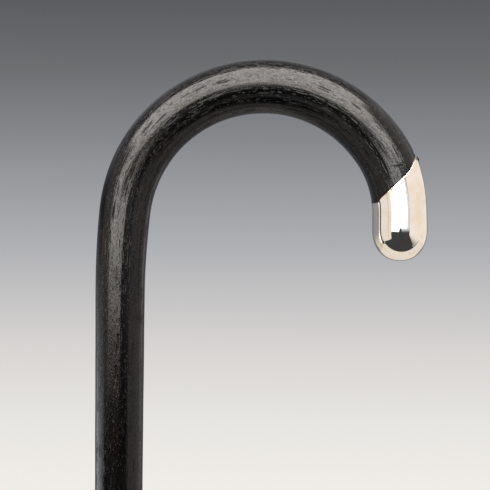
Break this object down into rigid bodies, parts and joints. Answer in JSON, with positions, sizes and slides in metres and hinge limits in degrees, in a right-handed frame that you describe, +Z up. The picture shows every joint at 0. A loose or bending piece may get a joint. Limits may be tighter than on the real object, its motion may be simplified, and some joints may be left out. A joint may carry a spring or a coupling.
{
  "type": "walking stick",
  "caption": "Crook-handled walking stick in ebonised bent wood, with a silver nose cap on the crook and a brass ferrule with a steel heel.",
  "frame": {"origin": "centre of the heel's flat face, where the stick meets the ground", "axes": "+Z up the shaft, +X from the shaft to the nose of the crook, and the crook lies in the XZ plane"},
  "size_m": [0.1396, 0.0234, 0.91],
  "materials": {
    "ebonised_wood": "black stain under a thin satin lacquer, with the pores left open",
    "silver": "polished sterling silver",
    "cement": "red-brown set resin",
    "brass": "brushed and lightly worn brass",
    "steel": "turned steel, scuffed on its face"
  },
  "bodies": {
    "root": {"wood_stick": "ebonised_wood", "nose_cap": "silver", "nose_cap_cement": "cement", "nose_cap_nail": "silver", "ferrule_sleeve": "brass", "ferrule_pins": "brass", "ferrule_heel": "steel"}
  },
  "joints": []
}
